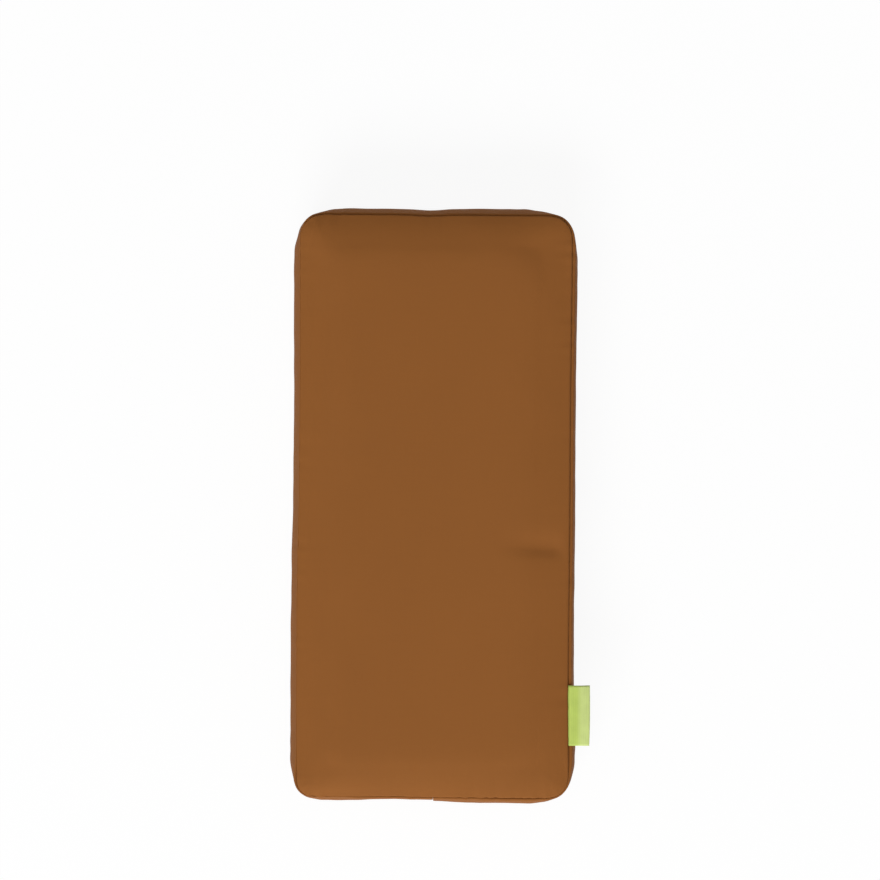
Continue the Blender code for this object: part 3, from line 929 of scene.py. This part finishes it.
for centre in STRAP_CENTRES:
    over_x = (abs(x) - STRAP_HALF_LENGTH) / RECESS_SLOPE
    over_y = (abs(y - centre) - STRAP_HALF_WIDTH) / RECESS_SLOPE
    pressed = np.clip(1 - over_x, 0, 1) * np.clip(1 - over_y, 0, 1)
    rise = np.maximum(rise, RECESS_DEPTH * pressed)
    pull = bell(abs(x) - STRAP_HALF_LENGTH - 0.004, 0.004)
    pull = pull * np.clip(1 - abs(y - centre) / 0.02, 0, 1)
    rise += STRAP_PULL * pull * (1 + np.sin((y - centre) / 0.0011)) * (over_x > 0)
points[:, 2] = np.maximum(points[:, 2], 0.0) + rise
put_points(bottom_panel, as_sewn(points))
thicken(bottom_panel, CLOTH_THICKNESS)
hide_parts("bottom_panel")
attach(bottom_panel, "root")


# The pad: a block of soft open-cell foam, cut to fill the cover, with a rebate along each
# seam for the turned-in allowances. Nothing of it shows from outside.
FOAM_CLEARANCE = 0.0020
FOAM_REBATE = 0.0050
CREAM = (0.80, 0.74, 0.55, 1.0)
DEEP_CREAM = (0.62, 0.53, 0.34, 1.0)

foam_finish, wire = new_finish("cream_foam")
spot = wire.node("TexCoord", {}, {}, "Object")
cells = wire.node("TexVoronoi", {"feature": "F1"}, {"Vector": spot, "Scale": 900.0})
grain = spot.noise(60.0, 4.0)
pits = (cells * 1.4).limited()
put_surface((grain * 0.5 + pits * 0.4).limited().between(DEEP_CREAM, CREAM),
            roughness=0.95, specular=0.1, relief=pits * 0.0004)

# Its rings' insets and heights, from the underside up. Where no inset is given the ring
# follows the band's bulge, and where no height is given it follows the crown.
foam_rows = [(0.0160, 0.0024), (0.0115, 0.0024), (0.0078, 0.0026), (FOAM_REBATE, 0.0040),
             (FOAM_REBATE, 0.0112), (None, 0.0122), (None, 0.0180), (None, 0.0245),
             (None, 0.0310), (None, 0.0368), (FOAM_REBATE, 0.0378), (FOAM_REBATE, None),
             (0.0080, None), (0.0120, None), (0.0160, None)]
bulge_in_plan = np.roll(bulge[:-1], JOIN_STATION)
rings = []
for inset, height in foam_rows:
    if inset is None:
        share = (height - BOTTOM_SEAM) / (TOP_SEAM - BOTTOM_SEAM)
        full = 1 - abs(2 * share - 1) ** BAND_FULLNESS
        rings.append(placed(FOAM_CLEARANCE - bulge_in_plan * full, np.full(STATIONS, height)))
        continue
    square = np.clip((inset - 0.004) / 0.012, 0, 1) ** 1.5
    ring = outline(inset, square)[0]
    rings.append(at_height(ring, height or 0.0))
    if height is None:
        rings[-1][:, 2] = crown_height(*ring.T, inset) - FOAM_CLEARANCE
low_inside, high_inside = filled(rings[0]), filled(rings[-1])
x, y = high_inside[:, :2].T
high_inside[:, 2] = crown_height(x, y, to_sides(x, y)) - crease_depth(x, y) - FOAM_CLEARANCE
points = np.concatenate(rings + [low_inside, high_inside])
count = len(rings) * STATIONS
faces = np.concatenate((ring_faces(len(rings)), filling_faces(0, count)[:, ::-1],
                        filling_faces(len(rings) - 1, count + len(low_inside))))
foam_pad = make_piece("foam_pad", as_sewn(points), faces, foam_finish)
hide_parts("foam_core")
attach(foam_pad, "root")


# The side label: a light green woven tape, folded in two, with its raw ends caught in the
# top seam on the right. It is plain, and stands out from the seam with a slight droop.
LABEL_LENGTH = 0.032
LABEL_REACH = 0.0115
LABEL_DROOP = math.radians(3)
LABEL_CURVE = math.radians(7)
LABEL_LEAN = 0.018
LABEL_BEND = 0.003
LABEL_TAPE = 0.0003
LABEL_NOSE = 0.00055
LABEL_GAPS = (0.00028, 0.00032, LABEL_NOSE)
BEND_STEPS = 6
REACH_STEPS = 7
LABEL_COLUMNS = 17
RIB_WIDTH = 0.00030
PICK_WIDTH = 0.00055
LIME = (0.67, 0.79, 0.265, 1.0)
# Near its root the tape is painted darker and greener: painted shade of the seam valley and the
# fold, with a little more green of the tape's own.
SHADED_ROOT_LIME = (0.55, 0.69, 0.140, 1.0)
ROOT_SHADE_END = 0.0765

label_finish, wire = new_finish("lime_label_tape")
place, along = cloth_place(wire)
ribs = abs(wire.maths("SINE", along * (math.pi / RIB_WIDTH)))
picks = wire.maths("SINE", along.beside("Y") * (math.pi / PICK_WIDTH))
worn = place.noise(160.0, 3.0)
spot = wire.node("TexCoord", {}, {}, "Object")
# Up to about 4.5 mm out from the seam the colour is the root's painted shade, and beyond that it
# is the tape's own lime.
outer = ((wire.node("SeparateXYZ", {}, {0: spot}, "X") - ROOT_SHADE_END) * 400.0).limited()
shade = ribs * 0.06 + picks * 0.02 + (worn - 0.5) * 0.25 + 0.85
lime = wire.node("VectorMath", {"operation": "SCALE"}, {
    0: outer.between(SHADED_ROOT_LIME, LIME), "Scale": shade})
put_surface(lime, roughness=0.55, specular=0.25, sheen=0.1,
            relief=ribs * 0.00003 + picks * 0.00001)

# Its middle line as insets and heights: up through the seam, round a soft bend and out. The
# two plies lie on either side of it and meet round the nose.
root = np.array((0.0, TOP_SEAM))
into = np.array((1.0, -1.0)) / math.sqrt(2)
square = np.array((1.0, 1.0)) / math.sqrt(2)
turn_middle = root - square * LABEL_BEND
way = [root + into * SEAM_ALLOWANCE * share for share in (1.0, 0.5)]
squares = [square] * len(way)
for share in np.linspace(0, 1, BEND_STEPS):
    angle = math.radians(45) + (math.radians(45) + LABEL_DROOP) * share
    square = np.array((math.cos(angle), math.sin(angle)))
    way.append(turn_middle + square * LABEL_BEND)
    squares.append(square)
reach_left = LABEL_REACH - LABEL_NOSE - LABEL_TAPE / 2 + way[-1][0]
bend_end = len(way)
for share in np.linspace(0, 1, REACH_STEPS + 1)[1:]:
    slope = LABEL_DROOP + LABEL_CURVE * share
    heading = np.array((-math.cos(slope), -math.sin(slope)))
    way.append(way[-1] + heading * reach_left / REACH_STEPS / -heading[0])
    square = np.array((-math.sin(slope), math.cos(slope)))
    squares.append(square)
gaps = np.interp(np.arange(len(way)), (0, bend_end, len(way) - 1), LABEL_GAPS)
upper = [p + n * g for p, n, g in zip(way, squares, gaps)]
lower = [p - n * g for p, n, g in zip(way, squares, gaps)]
nose = [way[-1] + LABEL_NOSE * (square * math.cos(a) + heading * math.sin(a))
        for a in np.radians((30, 60, 90, 120, 150))]
hairpin = np.array(upper + nose + lower[::-1])
widths = np.linspace(-LABEL_LENGTH / 2, LABEL_LENGTH / 2, LABEL_COLUMNS)
curl = 0.00035 * np.sin(widths / 0.0062 + 0.8) + 0.0008 * (widths / 0.016) ** 2 - 0.0003
skew = 0.0002 * np.cos(widths / 0.009)
rows, flats = [], []
for (inset, height), length in zip(hairpin, lengths_along(hairpin)):
    out = np.clip(-inset / LABEL_REACH, 0, 1)
    x = HALF_WIDTH - inset + skew * out + LABEL_LEAN * widths
    y = LABEL_MIDDLE + widths * (1 - 0.006 * math.sin(math.pi * out))
    rows.append(np.stack((x, y, height - curl * out ** 1.5), 1))
    flats.append(np.stack((widths, np.full_like(widths, length), np.zeros_like(widths)), 1))
rows = np.stack(rows)
label = make_piece("side_label_tape", as_sewn(rows.reshape(-1, 3)), sheet_faces(*rows.shape[:2]),
                   label_finish, np.stack(flats).reshape(-1, 3))
finer(label, 1)
thicken(label, LABEL_TAPE)
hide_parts("side_label")
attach(label, "root")


# The two straps: black ribbed webbing across the underside, laid in the cloth and sewn
# down at both ends with a crossed box of stitches.
STRAP_THICKNESS = 0.0010
STRAP_LIFT = 0.00018
RIB_PITCH = 0.0019
PICK_PITCH = 0.0014
RELIEF_ROOM = 0.00018
RIB_RELIEF = 0.00016
EDGE_ROUND = 0.0006
STRAP_COLUMNS = 228
STRAP_ROWS = 66
STRAND = 0.0006
BLACK = (0.020, 0.019, 0.019, 1.0)
WORN_BLACK = (0.048, 0.046, 0.045, 1.0)

strap_finish, wire = new_finish("black_webbing")
place, along = cloth_place(wire)
fibres = wire.maths("SINE", (along + along.beside("Y") * 0.6) * (2 * math.pi / STRAND))
dust = place.noise(90.0, 5.0)
tone = ((dust - 0.45) * 1.4 + fibres * 0.12 + 0.3).limited()
put_surface(tone.between(BLACK, WORN_BLACK), roughness=(0.55 + dust * 0.25).limited(),
            specular=0.3, relief=fibres * 0.00003)


def webbing(name, centre):
    """A closed strip with its ribs and picks in relief on both faces."""
    lengths = np.linspace(-STRAP_HALF_LENGTH, STRAP_HALF_LENGTH, STRAP_COLUMNS)
    widths = np.linspace(-STRAP_HALF_WIDTH, STRAP_HALF_WIDTH, STRAP_ROWS)
    u, v = np.meshgrid(lengths, widths)
    rib = np.floor((v + STRAP_HALF_WIDTH) / RIB_PITCH)
    across = np.abs(np.sin(np.pi * (v + STRAP_HALF_WIDTH) / RIB_PITCH))
    pick = np.abs(np.sin(np.pi * (u / PICK_PITCH + 0.5 * (rib % 2))))
    relief = RIB_RELIEF * across ** 0.7 * (0.55 + 0.45 * pick)
    edge = np.clip((STRAP_HALF_WIDTH - np.abs(v)) / EDGE_ROUND, 0, 1)
    half = (STRAP_THICKNESS / 2 - RELIEF_ROOM) * np.sqrt(0.15 + 0.85 * edge) + relief * edge
    middle = STRAP_LIFT + STRAP_THICKNESS / 2
    low = np.stack((u, centre + v, middle - half), 2)
    high = np.stack((u, centre + v, middle + half), 2)
    count = low.shape[0] * low.shape[1]
    points = np.concatenate((low.reshape(-1, 3), high.reshape(-1, 3)))
    flat = np.stack((u, v, np.zeros_like(u)), 2).reshape(-1, 3)
    names = np.arange(count).reshape(u.shape)
    rim = np.concatenate((names[0], names[1:, -1], names[-1, -2::-1], names[-2:0:-1, 0]))
    after = np.roll(rim, -1)
    walls = np.stack((rim, after, after + count, rim + count), 1)
    faces = np.concatenate((sheet_faces(*u.shape)[:, ::-1], sheet_faces(*u.shape) + count, walls))
    return make_piece(name, points, faces, strap_finish, np.concatenate((flat, flat)))


for name, node, centre in (("near_webbing_strap", "near_strap", STRAP_CENTRES[0]),
                           ("far_webbing_strap", "far_strap", STRAP_CENTRES[1])):
    strap = webbing(name, centre)
    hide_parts(node)
    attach(strap, "root")


# The box stitches: thick black polyester thread, four sides and a cross at each strap end,
# each stitch sunk at both ends where it goes down into the webbing.
STITCH_PITCH = 0.0030
STITCH_RADIUS = 0.00021
STITCH_RINGS = 7
STITCH_SIDES = 8
BOX_HALF = 0.0088
BOX_FROM_END = 0.0028
DOWN = np.array((0.0, 0.0, -1.0))
THREAD_BLACK = (0.016, 0.015, 0.015, 1.0)
THREAD_GREY = (0.05, 0.048, 0.046, 1.0)

thread_finish, wire = new_finish("black_thread")
spot = wire.node("TexCoord", {}, {}, "Object")
twist = wire.node("TexWave", {"wave_type": "BANDS", "bands_direction": "DIAGONAL"},
                  {"Vector": spot, "Scale": 1500.0, "Distortion": 0.4}, 1)
put_surface((twist * 0.8).between(THREAD_BLACK, THREAD_GREY), roughness=0.5, specular=0.4,
            relief=twist * 0.00005)


def stitch_run(start, end, points, faces):
    """Adds a straight run of stitches on a face that looks down."""
    length = np.linalg.norm(end - start)
    count = max(1, round(float(length) / STITCH_PITCH))
    way = (end - start) / length
    side = np.cross(DOWN, way)
    step = length / count
    for k in range(count):
        begin = start + way * step * (k + 0.10)
        first = len(points)
        for share in np.linspace(0, 1, STITCH_RINGS):
            rise = math.sin(math.pi * share) ** 0.5
            sunk = DOWN * STITCH_RADIUS * (1.5 * rise - 0.9)
            middle = begin + way * step * 0.80 * share + sunk
            thin = STITCH_RADIUS * (0.75 + 0.25 * rise)
            for turn in np.radians(np.arange(0, 360, 360 / STITCH_SIDES)):
                points.append(middle + thin * (side * math.cos(turn) + DOWN * math.sin(turn)))
        for ring in range(first, len(points) - STITCH_SIDES, STITCH_SIDES):
            for j in range(STITCH_SIDES):
                a, b = ring + j, ring + (j + 1) % STITCH_SIDES
                faces.append((a, b, b + STITCH_SIDES, a + STITCH_SIDES))
        faces.append(tuple(range(first + STITCH_SIDES - 1, first - 1, -1)))
        faces.append(tuple(range(len(points) - STITCH_SIDES, len(points))))


points, faces = [], []
for centre in STRAP_CENTRES:
    for sign in (-1, 1):
        outer = sign * (STRAP_HALF_LENGTH - BOX_FROM_END)
        inner = outer - sign * 2 * BOX_HALF
        box = [np.array((x, centre + y, STRAP_LIFT)) for x, y in (
            (outer, -BOX_HALF), (outer, BOX_HALF), (inner, BOX_HALF), (inner, -BOX_HALF))]
        for a, b in ((0, 1), (1, 2), (2, 3), (3, 0), (0, 2), (1, 3)):
            stitch_run(box[a], box[b], points, faces)
stitching = make_piece("strap_box_stitching", np.array(points), faces, thread_finish)
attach(stitching, "root")
